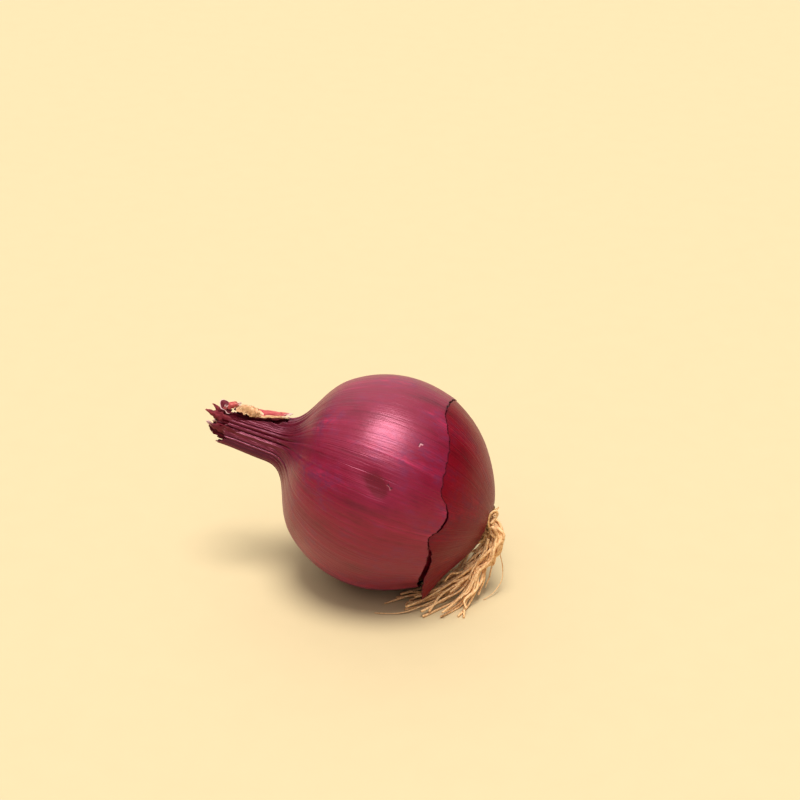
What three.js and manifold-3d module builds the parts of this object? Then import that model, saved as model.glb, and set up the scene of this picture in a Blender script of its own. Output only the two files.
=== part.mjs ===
// A dried red onion lying on its side: the bulb, the two pieces of its split outer skin,
// the corky root plate with its roots, and the dry leaf ends at the neck.
// Millimetres and degrees. +Z is up, and the origin is the middle of the small flat spot it rests on.
// The root end points towards +X and the neck towards -X, lifted off the level.

import * as THREE from "three";
import { mergeVertices } from "three/addons/utils/BufferGeometryUtils.js";
import Module from "manifold-3d";

const wasm = await Module();
wasm.setup();

// Driving dimensions
const BULB_RADIUS = 37.6; // half the width of the bulb, with its skin on
const FLAT_DEPTH = 1.2; // how much of the round underside the resting spot takes off
const NECK_LIFT = 19; // how far the neck points up from the level
const NECK_ROLL = 32; // turn of the neck's broad side about the growing axis
const SKIN = 0.7; // thickness of the dry outer skin
const GAP = 0.3; // clearance between pieces that touch
const AROUND = 36; // facets round the growing axis

const ROOT_RIM_AT = -38.4; // where the skin stops round the root plate, along the growing axis
const RIM_INSET = 1.2; // how deep the bulb's root end lies behind the skin's rim
const ROOT_RIM_RADIUS = 7.8;
const SHOULDER_AT = 24; // where the round body starts to draw in to the neck
const NECK_END_AT = 60;
const NECK_RADIUS = 7.6;
const NECK_FLATTEN = 0.7; // the neck's depth as a share of its width
const NECK_DROOP = 0.07; // how far the neck sags, per millimetre of its length
const NECK_DROOP_FROM = 30;
const NECK_BLEND = 14; // length over which the round shoulder turns into the pleated neck
const PLEAT = 0.35; // depth of the neck's pleats
const SPLIT_WIDTH = 0.5; // gap between the two pieces of the split skin

const PLATE_RADIUS = 6.6;
const PLATE_THICK = 1.5;
const LEAF_THICK = 0.5;
const LEAF_CUP = 0.12; // how far a leaf end is cupped, as a share of its width
const ROOT_RADIUS = 0.42;

const bulbCentreHeight = BULB_RADIUS - FLAT_DEPTH;
const rad = THREE.MathUtils.degToRad;

// Materials, one for each finish
const finish = (color, roughness) => new THREE.MeshStandardMaterial({ color, roughness, metalness: 0 });
const materials = {
  flesh: finish(0x7a1226, 0.35),
  drySkin: finish(0x96283f, 0.4),
  corkPlate: finish(0x8e6a45, 0.9),
  dryRoot: finish(0xc48f5c, 0.8),
  paleLeaf: finish(0xe4bf90, 0.75),
  coralLeaf: finish(0xb9504e, 0.65),
  darkLeaf: finish(0x6a1020, 0.6),
};

// The frames: the part's own, and the growing frame inside it, in which +Y runs along the
// growing axis towards the neck and +Z out of the neck's broad side.
const onion = new THREE.Group();
const leaning = new THREE.Group();
leaning.position.z = bulbCentreHeight;
leaning.rotation.y = rad(NECK_LIFT - 90);
const standing = new THREE.Group();
standing.rotation.x = rad(90);
const growing = new THREE.Group();
growing.rotation.y = rad(NECK_ROLL);
onion.add(leaning);
leaning.add(standing);
standing.add(growing);
onion.updateMatrixWorld(true);

function addPiece(frame, name, geometry, material) {
  const mesh = new THREE.Mesh(geometry, material);
  mesh.name = name;
  frame.add(mesh);
}

// Solids: a closed geometry made a manifold, and a manifold made a geometry again
function solidOf(geometry) {
  const bare = geometry.clone();
  bare.deleteAttribute("normal");
  bare.deleteAttribute("uv");
  const merged = mergeVertices(bare, 1e-3);
  return new wasm.Manifold(
    new wasm.Mesh({
      numProp: 3,
      vertProperties: new Float32Array(merged.attributes.position.array),
      triVerts: new Uint32Array(merged.index.array),
    }),
  );
}

function geometryOf(solid) {
  const mesh = solid.getMesh();
  const geometry = new THREE.BufferGeometry();
  geometry.setAttribute("position", new THREE.BufferAttribute(mesh.vertProperties, 3));
  geometry.setIndex(new THREE.BufferAttribute(mesh.triVerts, 1));
  geometry.computeVertexNormals();
  return geometry;
}

function eachVertex(geometry, change) {
  const place = geometry.getAttribute("position");
  const point = new THREE.Vector3();
  for (let i = 0; i < place.count; i++) {
    point.fromBufferAttribute(place, i);
    change(point, i);
    place.setXYZ(i, point.x, point.y, point.z);
  }
  return geometry;
}

// The outline of the bulb in its skin, from the root rim to the neck's end, as (radius, along)
function outline() {
  const rootEnd = [
    [ROOT_RIM_RADIUS, ROOT_RIM_AT],
    [11.8, -37],
    [17.2, -34.6],
    [22, -31],
  ];
  const body = [];
  for (let along = -25.5; along <= SHOULDER_AT; along += 5.5) {
    body.push([Math.sqrt(BULB_RADIUS ** 2 - along ** 2), along]);
  }
  const shoulder = [
    [25, 27.5],
    [19.2, 31],
    [13.4, 34],
    [9.8, 37.2],
    [NECK_RADIUS, 41.5],
    [NECK_RADIUS + 0.2, 47],
    [NECK_RADIUS + 0.6, 53],
    [NECK_RADIUS + 0.9, NECK_END_AT],
  ];
  return [...rootEnd, ...body, ...shoulder].map(([radius, along]) => new THREE.Vector2(radius, along));
}

// The neck is a pleated, flattened bundle that sags a little off the growing axis
function shapeNeck(point) {
  const intoNeck = THREE.MathUtils.smoothstep(point.y, NECK_DROOP_FROM, NECK_DROOP_FROM + NECK_BLEND);
  const angle = Math.atan2(point.z, point.x);
  const radius = Math.hypot(point.x, point.z);
  if (radius > 1) {
    const pleated = radius + PLEAT * intoNeck * Math.cos((angle * AROUND) / 2);
    point.x *= pleated / radius;
    point.z *= pleated / radius;
  }
  point.z *= THREE.MathUtils.lerp(1, NECK_FLATTEN, intoNeck);
  point.x -= NECK_DROOP * Math.max(0, point.y - NECK_DROOP_FROM);
}

// A solid of the bulb's outline taken in by inset, running between two places along the axis
function bulbSolid(inset, rootEndAt, neckEndAt) {
  const rings = outline().map((ring) => new THREE.Vector2(ring.x - inset, ring.y));
  rings[0].y = rootEndAt;
  rings[rings.length - 1].y = neckEndAt;
  const profile = [new THREE.Vector2(0, rootEndAt), ...rings, new THREE.Vector2(0, neckEndAt)];
  const geometry = new THREE.LatheGeometry(profile, AROUND);
  return solidOf(eachVertex(geometry, shapeNeck));
}

// What lies above a level of the part's own frame, as a block in the growing frame
function above(level) {
  const size = 300;
  const block = new THREE.BoxGeometry(size, size, size);
  block.translate(0, 0, level + size / 2);
  block.applyMatrix4(growing.matrixWorld.clone().invert());
  return solidOf(block);
}

// The split that parts the two pieces of skin: its distance from the bulb's middle towards the
// roots, against the angle round the axis, from the side that faces the front over the top
const SPLIT = [
  [-180, 17.5],
  [-150, 22],
  [-120, 25],
  [-90, 24.5],
  [-63, 23.4],
  [-42, 23],
  [-30, 21.4],
  [-22, 20.2],
  [-14, 22.3],
  [-5, 22.7],
  [1, 21.6],
  [6, 18.2],
  [18, 16.9],
  [37, 14.6],
  [50, 10.2],
  [65, 9.9],
  [81, 11.9],
  [110, 13.2],
  [150, 15.5],
  [180, 17.5],
];

function splitAt(angle) {
  const next = SPLIT.findIndex(([at]) => at >= angle);
  const [from, low] = SPLIT[Math.max(0, next - 1)];
  const [to, high] = SPLIT[Math.max(1, next)];
  return THREE.MathUtils.lerp(low, high, (angle - from) / (to - from));
}

// The space on the root side of the split, moved along the axis by shift. Its face is a fan
// from the mean split place on the axis, set so that it meets the skin at the split.
function rootSideOfSplit(shift) {
  const reach = 60;
  const length = 80;
  const facets = 60;
  const meanSplit = 17;
  const reachOverSkin = 1.75; // the column's radius against the skin's radius at the split
  const column = new THREE.CylinderGeometry(reach, reach, length, facets, 1);
  column.translate(0, -length / 2, 0);
  eachVertex(column, (point) => {
    const onTopFace = point.y > -length / 2;
    if (onTopFace) {
      const share = (Math.hypot(point.x, point.z) / reach) * reachOverSkin;
      const angle = THREE.MathUtils.radToDeg(Math.atan2(point.x, point.z));
      point.y = shift - meanSplit - (splitAt(angle) - meanSplit) * share;
    }
  });
  return solidOf(column);
}

// The bulb: one body of fleshy layers, with the inner part of the neck
function makeBulb() {
  const inset = SKIN + GAP;
  const behindNeckEnd = 4;
  const neckEnd = NECK_END_AT - behindNeckEnd;
  const bulb = bulbSolid(inset, ROOT_RIM_AT + RIM_INSET, neckEnd).intersect(above(inset));
  addPiece(growing, "bulb", geometryOf(bulb), materials.flesh);
}

// The dry outer skin: a thin shell, open at the neck and round the root plate, split in two
function makeSkins() {
  const past = 5; // how far the hollow runs on past both open ends
  const outside = bulbSolid(0, ROOT_RIM_AT, NECK_END_AT).intersect(above(0));
  const hollow = bulbSolid(SKIN, ROOT_RIM_AT - past, NECK_END_AT + past).intersect(above(SKIN));
  const skin = outside.subtract(hollow);
  const neckSide = skin.subtract(rootSideOfSplit(SPLIT_WIDTH / 2));
  const rootSide = skin.intersect(rootSideOfSplit(-SPLIT_WIDTH / 2));
  addPiece(growing, "outer_skin", geometryOf(neckSide), materials.drySkin);
  addPiece(growing, "root_end_skin", geometryOf(rootSide), materials.drySkin);
}

// The root plate: a low corky disc on the bulb's root end
function makeRootPlate() {
  const back = ROOT_RIM_AT + RIM_INSET - GAP;
  const facets = 18;
  // Radius as a share of the plate's radius, and depth as a share of its thickness
  const rounding = [
    [0, 1],
    [0.6, 0.9],
    [1, 0.35],
    [0.94, 0],
    [0, 0],
  ];
  const profile = rounding.map(
    ([out, deep]) => new THREE.Vector2(PLATE_RADIUS * out, back - PLATE_THICK * deep),
  );
  addPiece(growing, "root_plate", new THREE.LatheGeometry(profile, facets), materials.corkPlate);
}

// The roots: a tuft that leaves the plate, hangs down and spreads on the surface below.
// Each root keeps its own lane from the plate to its tip, so that none crosses another.
const LANES = 7;
const LAYERS = 3;
const LANE_STEP = 1.1;
const LAYER_STEP = 1.15;
const BUNDLE_TURN = -50; // the row of lanes seen from above, from +X
const LANE_HEADINGS = [204, 207, 211, 217, 226, 238, 252]; // on the surface, seen from above
const LANE_LENGTHS = [29, 25, 27, 29, 26, 21, 17]; // from under the hanging part to the tip
const TIP_SPREAD = 1.5; // how unevenly the tips end
const LAYER_SETBACK = 1.6; // how much shorter each upper layer is
const FLOOR_CLEARANCE = 0.06;
const HANGING_SHARES = [0, 0.15, 0.35, 0.55, 0.75, 1];
// Where a root comes down to the surface: share of its length there, and mm above its rest height
const COMING_DOWN = [
  [0.16, 6.4],
  [0.36, 3.2],
  [0.62, 0.5],
];

// The middle of the hanging part of the tuft, from the face of the plate downwards
const hanging = new THREE.CatmullRomCurve3([
  new THREE.Vector3(37.5, -2.5, 24.2),
  new THREE.Vector3(39.1, -3, 23.5),
  new THREE.Vector3(39.5, -4.5, 20.7),
  new THREE.Vector3(38.2, -5.8, 16.6),
  new THREE.Vector3(34.6, -7.5, 12.8),
]);

function rootPath(lane, layer) {
  const across = (lane - (LANES - 1) / 2) * LANE_STEP;
  const through = (layer - (LAYERS - 1) / 2) * LAYER_STEP;
  const turn = rad(BUNDLE_TURN);
  const outwards = across * Math.cos(turn) - through * Math.sin(turn);
  const sideways = across * Math.sin(turn) + through * Math.cos(turn);

  // In the hanging part the lanes run side by side
  const sidewaysAxis = new THREE.Vector3(0, 1, 0);
  const points = HANGING_SHARES.map((share) => {
    const outwardsAxis = hanging.getTangentAt(share).cross(sidewaysAxis).normalize();
    const at = hanging.getPointAt(share);
    return at.addScaledVector(outwardsAxis, outwards).addScaledVector(sidewaysAxis, sideways);
  });

  // On the surface they fan out, and each layer lies on the one below
  const from = points[points.length - 1];
  const heading = rad(LANE_HEADINGS[lane]);
  const length = LANE_LENGTHS[lane];
  const layersBelow = LAYERS - 1 - layer;
  const uneven = TIP_SPREAD * Math.sin(lane * 2.7 + layer * 4.1);
  const tipLength = length + uneven - LAYER_SETBACK * layersBelow;
  const restHeight = ROOT_RADIUS + FLOOR_CLEARANCE + layersBelow * LAYER_STEP * 0.9;
  const along = (distance, height) =>
    new THREE.Vector3(from.x + Math.cos(heading) * distance, from.y + Math.sin(heading) * distance, height);
  for (const [share, raised] of COMING_DOWN) points.push(along(share * length, restHeight + raised));
  points.push(along(tipLength, restHeight));
  return new THREE.CatmullRomCurve3(points, false, "centripetal");
}

function makeRoots() {
  const section = new THREE.Shape();
  const sides = 6;
  for (let i = 0; i < sides; i++) {
    const angle = (2 * Math.PI * i) / sides;
    const [x, y] = [ROOT_RADIUS * Math.cos(angle), ROOT_RADIUS * Math.sin(angle)];
    if (i === 0) section.moveTo(x, y);
    else section.lineTo(x, y);
  }
  section.closePath();
  for (let lane = 0; lane < LANES; lane++) {
    for (let layer = 0; layer < LAYERS; layer++) {
      const number = String(lane * LAYERS + layer + 1).padStart(2, "0");
      const geometry = new THREE.ExtrudeGeometry(section, {
        steps: 12,
        bevelEnabled: false,
        extrudePath: rootPath(lane, layer),
      });
      addPiece(onion, `root_${number}`, geometry, materials.dryRoot);
    }
  }
}

// The dry leaf ends at the neck: thin papery pieces, each a narrow sheet that follows a path.
// Points are (across the neck's broad side, along the axis, out of its broad side).
const LEAVES = [
  {
    name: "upper_leaf_point",
    material: materials.darkLeaf,
    width: [4.4, 3, 0.8],
    path: [[1.4, 60.6, 0.4], [2.2, 62.8, 0.9], [2.9, 65.2, 1.4]],
  },
  {
    name: "middle_leaf_point",
    material: materials.darkLeaf,
    width: [4, 3.4, 0.8],
    path: [[-0.8, 60.6, 3], [-0.2, 63.5, 3.6], [0.2, 66.9, 4]],
  },
  {
    name: "pale_edged_leaf",
    material: materials.coralLeaf,
    width: [5, 4.6, 3],
    path: [[-6.2, 60.6, 0.6], [-5.2, 62.8, 1.1], [-3.6, 65.2, 1.6]],
  },
  {
    name: "curled_leaf_tip",
    material: materials.coralLeaf,
    width: [2.6, 2.8, 2.2],
    path: [[3.4, 60.9, -2.6], [4.8, 62.6, -2.4], [5.4, 61.4, -1.6]],
  },
  {
    name: "rolled_leaf",
    material: materials.coralLeaf,
    width: [3.2, 3.2, 2.6],
    path: [[6.2, 61, 1.6], [7.4, 59.2, 2.2], [7.6, 56.8, 2.6]],
  },
  {
    name: "tan_leaf_flake",
    material: materials.paleLeaf,
    width: [4.4, 6, 5],
    path: [[7.4, 55.4, 3.4], [8.4, 52.6, 3.8], [7.9, 49.8, 4], [7.6, 47, 3.4]],
  },
  {
    name: "coral_leaf_strip",
    material: materials.coralLeaf,
    width: [3.4, 3.8, 2.8],
    path: [[8.4, 54, -2.4], [8.5, 48, -2.2], [9.4, 43, -1.4], [10.9, 39, -0.4]],
  },
  {
    name: "pale_leaf_strip",
    material: materials.paleLeaf,
    width: [3, 3.6, 2.4],
    path: [[2.8, 55, 6.2], [3.6, 50, 6.3], [4.4, 45, 6.6], [6.8, 40.4, 7.6]],
  },
];

function makeLeaf({ name, material, width, path }) {
  const curve = new THREE.CatmullRomCurve3(path.map((at) => new THREE.Vector3(...at)));
  const steps = 8;
  const sheet = new THREE.BoxGeometry(1, 1, 1, 4, 1, steps);
  const outward = new THREE.Vector3(path[0][0], 0, path[0][2]).normalize();
  eachVertex(sheet, (point) => {
    const [across, through, share] = [point.x, point.y, point.z + 0.5];
    const forward = curve.getTangent(share);
    const side = new THREE.Vector3().crossVectors(outward, forward).normalize();
    const face = new THREE.Vector3().crossVectors(forward, side).normalize();
    const place = share * (width.length - 1);
    const slot = Math.min(width.length - 2, Math.floor(place));
    const wide = THREE.MathUtils.lerp(width[slot], width[slot + 1], place - slot);
    const cup = LEAF_CUP * wide * (1 - (2 * across) ** 2);
    point.copy(curve.getPoint(share));
    point.addScaledVector(side, across * wide).addScaledVector(face, through * LEAF_THICK + cup);
  });
  addPiece(growing, name, sheet, material);
}

makeBulb();
makeSkins();
makeRootPlate();
makeRoots();
LEAVES.forEach(makeLeaf);

export default onion;
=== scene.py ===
"""A dried red onion lying on its side: the looks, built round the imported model.

Metres, +Z up. The bulb's growing axis runs from the root end, towards +X, up to the neck, towards -X.
"""

import math

import bpy
import numpy as np
from mathutils import Matrix, Vector


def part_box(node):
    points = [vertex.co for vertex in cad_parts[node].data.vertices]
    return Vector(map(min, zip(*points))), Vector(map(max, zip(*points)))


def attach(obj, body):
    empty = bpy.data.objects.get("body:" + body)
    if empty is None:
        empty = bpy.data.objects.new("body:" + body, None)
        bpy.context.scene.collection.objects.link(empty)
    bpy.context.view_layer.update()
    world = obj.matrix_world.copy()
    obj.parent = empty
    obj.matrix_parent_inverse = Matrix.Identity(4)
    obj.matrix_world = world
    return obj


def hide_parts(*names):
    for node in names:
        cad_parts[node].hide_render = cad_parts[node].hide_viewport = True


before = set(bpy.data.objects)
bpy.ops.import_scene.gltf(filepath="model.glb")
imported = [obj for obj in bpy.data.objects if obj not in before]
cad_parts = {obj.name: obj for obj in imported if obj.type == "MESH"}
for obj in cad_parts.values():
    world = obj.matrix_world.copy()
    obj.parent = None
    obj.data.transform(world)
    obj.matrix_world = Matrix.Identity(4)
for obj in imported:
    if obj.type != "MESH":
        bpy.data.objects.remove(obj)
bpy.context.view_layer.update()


# ---------------------------------------------------------------
# The bulb: the moist fleshy scales, which grew as one body inside the dry skin and run up into
# the neck. It shows only where the dry skin has split, so it is plain, dark and glossy.
# ---------------------------------------------------------------

MM = 0.001
NECK_LIFT = math.radians(19)  # how far the neck points up from the level
NECK_ROLL = math.radians(32)  # turn of the neck's broad side about the growing axis
FLESH_INSET = 1.0  # how far the flesh lies under the outside of the dry skin, in mm

skin_low, skin_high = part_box("outer_skin")
bulb_radius = (skin_high.y - skin_low.y) / 2 / MM
bulb_centre = Vector((0, 0, skin_high.z - bulb_radius * MM))

# The growing frame: across the neck's broad side, along the axis to the neck, and facing, out
# of the broad side. Angles round the axis go from facing, over the top, to the back.
along_axis = Vector((-math.cos(NECK_LIFT), 0, math.sin(NECK_LIFT)))
over_the_top = Vector((math.sin(NECK_LIFT), 0, math.cos(NECK_LIFT)))
level_front = Vector((0, -1, 0))
facing_axis = level_front * math.cos(NECK_ROLL) + over_the_top * math.sin(NECK_ROLL)
across_axis = along_axis.cross(facing_axis)
growing_turn = Matrix((across_axis, along_axis, facing_axis)).transposed()


def in_place(across, along, facing):
    """Places in the growing frame, in mm, as places in the part's frame, in metres."""
    grown = np.stack([np.ravel(across), np.ravel(along), np.ravel(facing)], axis=1) * MM
    return grown @ np.array(growing_turn).T + np.array(bulb_centre)


def ripple(turn, slowest, fastest, seed):
    """An uneven wave over an angle in radians, about -1 to 1, which meets itself after a turn."""
    random = np.random.default_rng(seed)
    wave = np.zeros_like(turn)
    for waves in range(slowest, fastest + 1):
        wave += random.uniform(0.4, 1.0) * np.cos(waves * turn + random.uniform(0, 2 * math.pi))
    return wave / math.sqrt((fastest - slowest + 1) / 2 + 0.5)


def smooth_step(low, high, value):
    """0 up to low, 1 from high on, and a smooth rise between them."""
    share = np.clip((value - low) / (high - low), 0, 1)
    return share * share * (3 - 2 * share)


# The outline of the onion in its skin, as distance from the axis against length along the skin
# from the root pole: a ball with a slightly drawn out root end, and a shoulder into the neck.
# Sizes are in mm, and places along the axis are from the bulb's middle.
ROOT_END_DRAWN = 1.7  # how far the root end is drawn out
ROOT_END_WIDE = 24  # distance from the axis at which that begins
SHOULDER_ALONG = 24.0
SHOULDER_START_WAY = (-0.64, 0.77)  # the way of the ball's outline there: outwards, along
SHOULDER_PULL = 12.0  # how long that way is kept on into the shoulder
SHOULDER_HOLLOW = 31.5  # the place along the axis that the shoulder's hollow leans to
NECK_START = 42.0
NECK_END = 60.0
OUTLINE_END = NECK_END + 4  # the inner layers and leaves reach past the outer skin
NECK_RADIUS = 7.6
HOLLOW_RADIUS = NECK_RADIUS - 0.2
NECK_FLARE = 0.9  # how much the outline widens again to its end


def curve(start, pull, hollow, end, share):
    """Places on a smooth curve from start to end, which leans to pull and to hollow between."""
    rest = 1 - share
    return rest**3 * start + 3 * share * rest**2 * pull + 3 * share**2 * rest * hollow + share**3 * end


ball_turn = np.linspace(0, math.acos(-SHOULDER_ALONG / bulb_radius), 240)
ball_out = bulb_radius * np.sin(ball_turn)
ball_along = -bulb_radius * np.cos(ball_turn)
ball_along -= ROOT_END_DRAWN * np.clip(1 - (ball_out / ROOT_END_WIDE) ** 2, 0, 1) ** 2 * (ball_along < 0)
pull_out = ball_out[-1] + SHOULDER_START_WAY[0] * SHOULDER_PULL
pull_along = ball_along[-1] + SHOULDER_START_WAY[1] * SHOULDER_PULL
shoulder_share = np.linspace(0, 1, 80)[1:]
shoulder_out = curve(ball_out[-1], pull_out, HOLLOW_RADIUS, NECK_RADIUS, shoulder_share)
shoulder_along = curve(ball_along[-1], pull_along, SHOULDER_HOLLOW, NECK_START, shoulder_share)
neck_share = np.linspace(0, 1, 60)[1:]
neck_out = NECK_RADIUS + NECK_FLARE * neck_share**1.3
neck_along = NECK_START + (OUTLINE_END - NECK_START) * neck_share
outline_out = np.concatenate([ball_out, shoulder_out, neck_out])
outline_along = np.concatenate([ball_along, shoulder_along, neck_along])
steps = np.hypot(np.diff(outline_out), np.diff(outline_along))
outline_length = np.concatenate([[0], np.cumsum(steps)])
outline_slope = np.arctan2(np.gradient(outline_along), np.gradient(outline_out))

PLEATS = 25  # lengthwise folds round the dried neck
PLEAT_DEPTH = 0.95
PLEAT_UNEVENNESS = 0.55  # how much that depth varies round the neck
RIDGE_FOOT = 0.66  # the share of a ridge's height that lies inside the neck's outline
FINE_FOLDS = 0.12
SHOULDER_SHARE = 0.14  # how much of the folds' depth runs out over the shoulder


def pleat(turn, along):
    """How far the shrivelled neck's folds stand out at an angle, in mm."""
    wavy = turn * PLEATS + 3.2 * ripple(turn, 2, 7, 11) + 0.02 * along * ripple(turn, 3, 9, 12)
    ridge = np.abs(np.cos(wavy / 2)) ** 0.6 - RIDGE_FOOT
    depth = PLEAT_DEPTH + PLEAT_UNEVENNESS * ripple(turn, 5, 16, 13)
    fine = FINE_FOLDS * ripple(turn, 60, 90, 14)
    on_neck = smooth_step(30, NECK_START, along)
    on_shoulder = SHOULDER_SHARE * smooth_step(20, 33, along)
    return (ridge * depth + fine) * (on_neck + on_shoulder)


# A dent and a shallow hollow beside it, into both of which the skin's finish paints shade: degrees
# round the axis, mm along it, their reach each way, the slant of the longer way, and how deep they go.
DENTS = [
    (-2.6, 2.6, 5.4, 3.2, 22, 1.0),
    (-7.5, 0.6, 3.0, 1.8, 10, 0.3),
]


def dented(turn, along):
    """How far the dents take the skin in, in mm."""
    sunk = np.zeros_like(turn)
    for degrees, place, long_reach, short_reach, slant, depth in DENTS:
        around = (np.degrees(turn) - degrees + 180) % 360 - 180
        up = np.radians(around) * bulb_radius
        over = along - place
        lean = math.radians(slant)
        long_way = over * math.cos(lean) + up * math.sin(lean)
        short_way = up * math.cos(lean) - over * math.sin(lean)
        away = (long_way / long_reach) ** 2 + (short_way / short_reach) ** 2
        sunk += depth * np.exp(-away)
    return sunk


BODY_UNEVENNESS = 0.22
BODY_LENGTH = 118  # along the skin, from the root pole to a little way up the neck
NECK_TAPER = 0.17  # share of its width that the neck loses by its end
NECK_DROOP = 0.055  # mm that the neck leans over for each mm along it
NECK_FLATTENING = 0.3  # share of its depth that the neck has lost, behind its broad side
LEAST_HEIGHT = 0.05  # kept over the surface that the onion lies on


def over_bulb(length, turn, lift):
    """Places on the onion, lift mm off its outside, at a length along the skin and an angle."""
    out = np.interp(length, outline_length, outline_out)
    along = np.interp(length, outline_length, outline_along)
    slope = np.interp(length, outline_length, outline_slope)
    on_body = np.sin(np.clip(length, 0, BODY_LENGTH) / BODY_LENGTH * math.pi)
    uneven = BODY_UNEVENNESS * ripple(turn, 2, 5, 15) * on_body
    lift = lift + uneven + pleat(turn, along) - dented(turn, along)
    out = np.maximum(out + lift * np.sin(slope), 0)
    along = along - lift * np.cos(slope)
    into_neck = smooth_step(30, 44, along)
    out = out * (1 - NECK_TAPER * smooth_step(40, NECK_END, along))
    droop = NECK_DROOP * np.maximum(0, along - 30)
    across = out * np.sin(turn) - droop
    facing = out * np.cos(turn) * (1 - NECK_FLATTENING * into_neck)
    places = in_place(across, along, facing)
    places[:, 2] = np.maximum(places[:, 2], LEAST_HEIGHT * MM)
    return places


def length_at(along):
    """The length along the skin from the root pole, at a distance along the axis."""
    return np.interp(along, outline_along, outline_length)


def deselect_all():
    bpy.ops.object.select_all(action="DESELECT")


def new_sheet(name, columns, rows):
    """A flat sheet, with its share across, 0 to 1, and its share up, 0 to 1, at each corner."""
    deselect_all()
    bpy.ops.mesh.primitive_grid_add(x_subdivisions=columns, y_subdivisions=rows, size=2)
    sheet = bpy.context.object
    sheet.name = name
    sheet.data.name = name
    flat = np.empty(len(sheet.data.vertices) * 3)
    sheet.data.vertices.foreach_get("co", flat)
    flat = flat.reshape(-1, 3)
    return sheet, (flat[:, 0] + 1) / 2, (flat[:, 1] + 1) / 2


def new_round_sheet(name, columns, rows):
    """A sheet to lay round the axis, with its angle in radians and its share up at each corner."""
    sheet, around, up = new_sheet(name, columns, rows)
    return sheet, around * 2 * math.pi, up


WELD = 0.01  # mm, corners nearer than this are one


def lay_sheet(sheet, places):
    """Puts the sheet's corners in their places, and joins those that meet."""
    sheet.data.vertices.foreach_set("co", np.ravel(places))
    sheet.data.update()
    bpy.ops.object.mode_set(mode="EDIT")
    bpy.ops.mesh.select_all(action="SELECT")
    bpy.ops.mesh.remove_doubles(threshold=WELD * MM)
    bpy.ops.object.mode_set(mode="OBJECT")


def apply_modifier(piece, kind, **settings):
    """Adds a modifier with these settings, and makes its result the piece's mesh."""
    bpy.context.view_layer.objects.active = piece
    modifier = piece.modifiers.new(kind.title(), kind)
    for setting, value in settings.items():
        setattr(modifier, setting, value)
    bpy.ops.object.modifier_apply(modifier=modifier.name)


class Shade:
    """A value in a material's nodes, so that shader maths is written as Python expressions."""

    def __init__(self, tree, socket=None):
        self.tree = tree
        self.socket = socket

    def node(self, kind, sockets=(), output=0, **settings):
        """Adds a node: its settings first, then its sockets' values or links."""
        made = self.tree.nodes.new(kind)
        for name, value in settings.items():
            setattr(made, name, value)
        for name, value in dict(sockets).items():
            if isinstance(value, Shade):
                self.tree.links.new(value.socket, made.inputs[name])
            else:
                made.inputs[name].default_value = value
        return Shade(self.tree, made.outputs[output])

    def math(self, operation, first, second=0.0):
        """Adds a Math node on two values, of which either may be a number."""
        return self.node("ShaderNodeMath", {0: first, 1: second}, operation=operation)

    def math_of(self, operation):
        """Adds a Math node on this value alone, such as its sine."""
        return self.math(operation, self)

    def __add__(self, other):
        return self.math("ADD", self, other)

    def __sub__(self, other):
        return self.math("SUBTRACT", self, other)

    def __rsub__(self, other):
        return self.math("SUBTRACT", other, self)

    def __mul__(self, other):
        return self.math("MULTIPLY", self, other)

    def __pow__(self, other):
        return self.math("POWER", self, other)

    __radd__ = __add__
    __rmul__ = __mul__

    def smooth(self, low, high):
        """0 up to low, 1 from high on, and a smooth rise between them."""
        sockets = {"Value": self, "From Min": low, "From Max": high}
        return self.node("ShaderNodeMapRange", sockets, interpolation_type="SMOOTHSTEP")

    def mix(self, low, high):
        """The colour low where this value is 0, and high where it is 1."""
        return self.node("ShaderNodeMix", {0: self, 6: low, 7: high}, output=2, data_type="RGBA")

    def vector(self, operation, other=(0.0, 0.0, 0.0)):
        """Adds a Vector Math node on this vector and another."""
        return self.node("ShaderNodeVectorMath", {0: self, 1: other}, operation=operation)

    def noise(self, detail=2.0, roughness=0.5):
        """Uneven spots one unit of this vector across, 0 to 1."""
        sockets = {"Vector": self, "Scale": 1.0, "Detail": detail, "Roughness": roughness}
        return self.node("ShaderNodeTexNoise", sockets)

    def bump(self, distance, strength=1.0):
        """A bumpy normal from this value as a height, distance being its full height."""
        sockets = {"Height": self, "Distance": distance, "Strength": strength}
        return self.node("ShaderNodeBump", sockets, output="Normal")


def socket_of(shader, name):
    """The shader's socket for a name such as base_color."""
    return shader.inputs[name.replace("_", " ").title().replace("Ior", "IOR")]


def new_finish(name, **constants):
    """A material, with its unchanging values set on the shader's own sockets."""
    material = bpy.data.materials.new(name)
    material.use_nodes = True
    shader = material.node_tree.nodes["Principled BSDF"]
    for socket, value in constants.items():
        socket_of(shader, socket).default_value = value
    return material, Shade(material.node_tree), shader


def feed(shade, shader, **values):
    """Links what changes over the surface to the shader's sockets."""
    for socket, value in values.items():
        shade.tree.links.new(value.socket, socket_of(shader, socket))


def growing_place(shade):
    """Object coordinates turned to the growing frame, in mm."""
    place = shade.node("ShaderNodeTexCoord", output="Object")
    sockets = {
        "Vector": place,
        "Location": bulb_centre,
        "Rotation": growing_turn.to_euler(),
        "Scale": (MM, MM, MM),
    }
    return shade.node("ShaderNodeMapping", sockets, vector_type="TEXTURE")


def meridians(place, width, length, detail=2.0):
    """Uneven streaks that run from pole to pole, with a width at the widest and a length in mm."""
    outward = place.vector("MULTIPLY", (1.0, 0.0, 1.0)).vector("NORMALIZE")
    around = outward.vector("SCALE")
    around.socket.node.inputs["Scale"].default_value = bulb_radius / width
    lengthwise = place.vector("MULTIPLY", (0.0, 1 / length, 0.0))
    return around.vector("ADD", lengthwise).noise(detail)


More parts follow.
